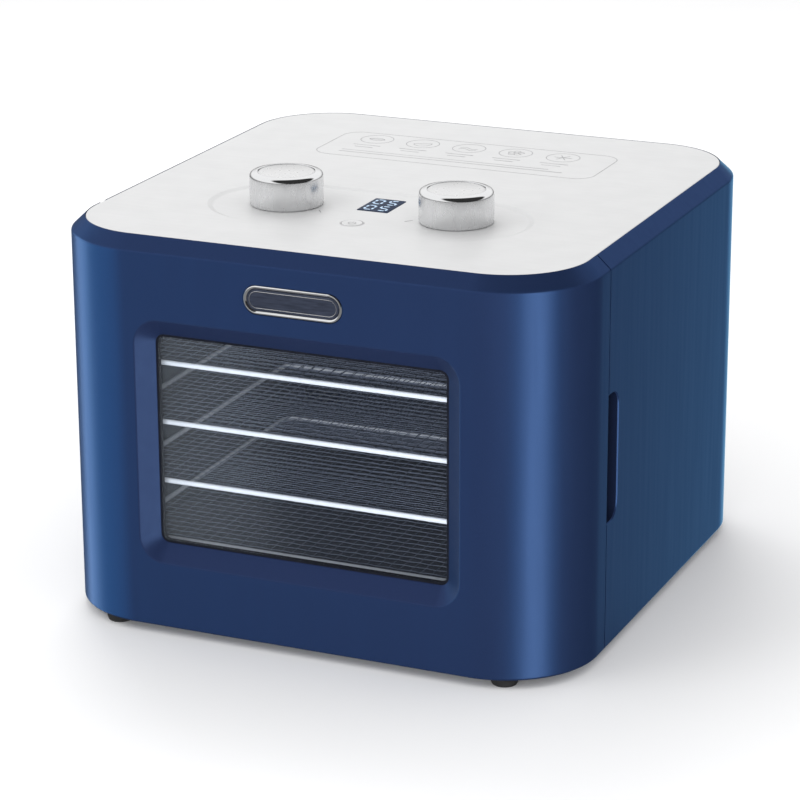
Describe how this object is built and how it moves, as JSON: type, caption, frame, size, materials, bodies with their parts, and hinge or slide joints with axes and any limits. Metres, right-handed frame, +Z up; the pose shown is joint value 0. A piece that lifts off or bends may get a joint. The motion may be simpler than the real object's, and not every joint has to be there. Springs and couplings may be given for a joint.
{
  "type": "food dehydrator",
  "caption": "Countertop food dehydrator: slide-in wire trays in a fan-heated chamber behind a side-hinged glass door, with two turning dials on top.",
  "frame": {"origin": "on the floor under the feet, midway between the sides and between front and back", "axes": "+Z up, -Y towards the user and the door, +X to the user's right"},
  "size_m": [0.31, 0.32, 0.2466],
  "materials": {
    "blue_shell": "deep blue pearl lacquer, glossy",
    "white_panel": "white, satin gloss",
    "chrome": "polished and satin chrome",
    "satin_cap": "satin silver",
    "dark_plastic": "near-black moulded",
    "steel": "bright drawn and rolled steel",
    "rubber": "matt black",
    "glass": "clear tempered glass",
    "circuit_board": "green solder mask",
    "brass": "plain brass",
    "chamber_enamel": "dark enamel",
    "display_lens": "tinted, dark blue"
  },
  "bodies": {
    "cabinet": {"body_shell": "blue_shell", "top_panel": "white_panel", "base_plate": "dark_plastic", "front_frame": "dark_plastic", "display_module": "dark_plastic", "button_switch": "dark_plastic", "rear_cover": "dark_plastic", "cord_gland": "rubber", "display_lens": "display_lens", "control_board": "circuit_board", "power_board": "circuit_board", "temp_sensor": "brass", "foot_front_left": "rubber", "foot_front_right": "rubber", "foot_rear_left": "rubber", "foot_rear_right": "rubber", "chamber_left": "chamber_enamel", "chamber_right": "chamber_enamel", "chamber_floor": "chamber_enamel", "chamber_ceiling": "chamber_enamel", "catch_plate": "steel", "hinge_bracket_top": "steel", "hinge_bracket_bottom": "steel", "hinge_pin_top": "steel", "hinge_pin_bottom": "steel", "timer_encoder": "steel", "temperature_encoder": "steel", "fan_baffle": "chamber_enamel", "fan_motor": "steel", "motor_bracket": "steel", "heater_element": "steel", "heater_bracket": "steel", "thermal_cutout": "steel", "rear_screw_left": "steel", "rear_screw_right": "steel"},
    "door": {"door_shell": "blue_shell", "door_window": "glass", "door_inner_panel": "dark_plastic", "door_seal": "rubber", "door_magnet": "steel", "badge_rim": "chrome", "badge_plate": "dark_plastic"},
    "timer_dial": {"timer_knob": "chrome", "timer_knob_cap": "satin_cap", "timer_shaft": "steel"},
    "temperature_dial": {"temperature_knob": "chrome", "temperature_knob_cap": "satin_cap", "temperature_shaft": "steel"},
    "power_key": {"power_button": "white_panel"},
    "fan": {"fan_impeller": "steel", "motor_shaft": "steel"},
    "tray_1": {"tray_frame_1": "steel", "tray_mesh_1": "steel"},
    "tray_2": {"tray_frame_2": "steel", "tray_mesh_2": "steel"},
    "tray_3": {"tray_frame_3": "steel", "tray_mesh_3": "steel"},
    "tray_4": {"tray_frame_4": "steel", "tray_mesh_4": "steel"}
  },
  "joints": [
    {"name": "door_hinge", "type": "hinge", "parent": "cabinet", "child": "door", "pos_m": [-0.1505, -0.1005, 0.117], "axis": [0, 0, -1], "range_deg": [0, 100]},
    {"name": "timer_turn", "type": "hinge", "parent": "cabinet", "child": "timer_dial", "pos_m": [-0.0515, -0.058, 0.2281], "axis": [0, 0, 1], "continuous": true},
    {"name": "temperature_turn", "type": "hinge", "parent": "cabinet", "child": "temperature_dial", "pos_m": [0.0515, -0.058, 0.2281], "axis": [0, 0, 1], "continuous": true},
    {"name": "power_press", "type": "slide", "parent": "cabinet", "child": "power_key", "axis": [0, 0, -1], "range_m": [0, 0.001], "stiffness_N_per_m": 800},
    {"name": "fan_spin", "type": "hinge", "parent": "cabinet", "child": "fan", "pos_m": [0, 0.0965, 0.117], "axis": [0, 1, 0], "continuous": true},
    {"name": "tray_1_slide", "type": "slide", "parent": "cabinet", "child": "tray_1", "axis": [0, -1, 0], "range_m": [0, 0.004]},
    {"name": "tray_2_slide", "type": "slide", "parent": "cabinet", "child": "tray_2", "axis": [0, -1, 0], "range_m": [0, 0.004]},
    {"name": "tray_3_slide", "type": "slide", "parent": "cabinet", "child": "tray_3", "axis": [0, -1, 0], "range_m": [0, 0.004]},
    {"name": "tray_4_slide", "type": "slide", "parent": "cabinet", "child": "tray_4", "axis": [0, -1, 0], "range_m": [0, 0.004]}
  ]
}
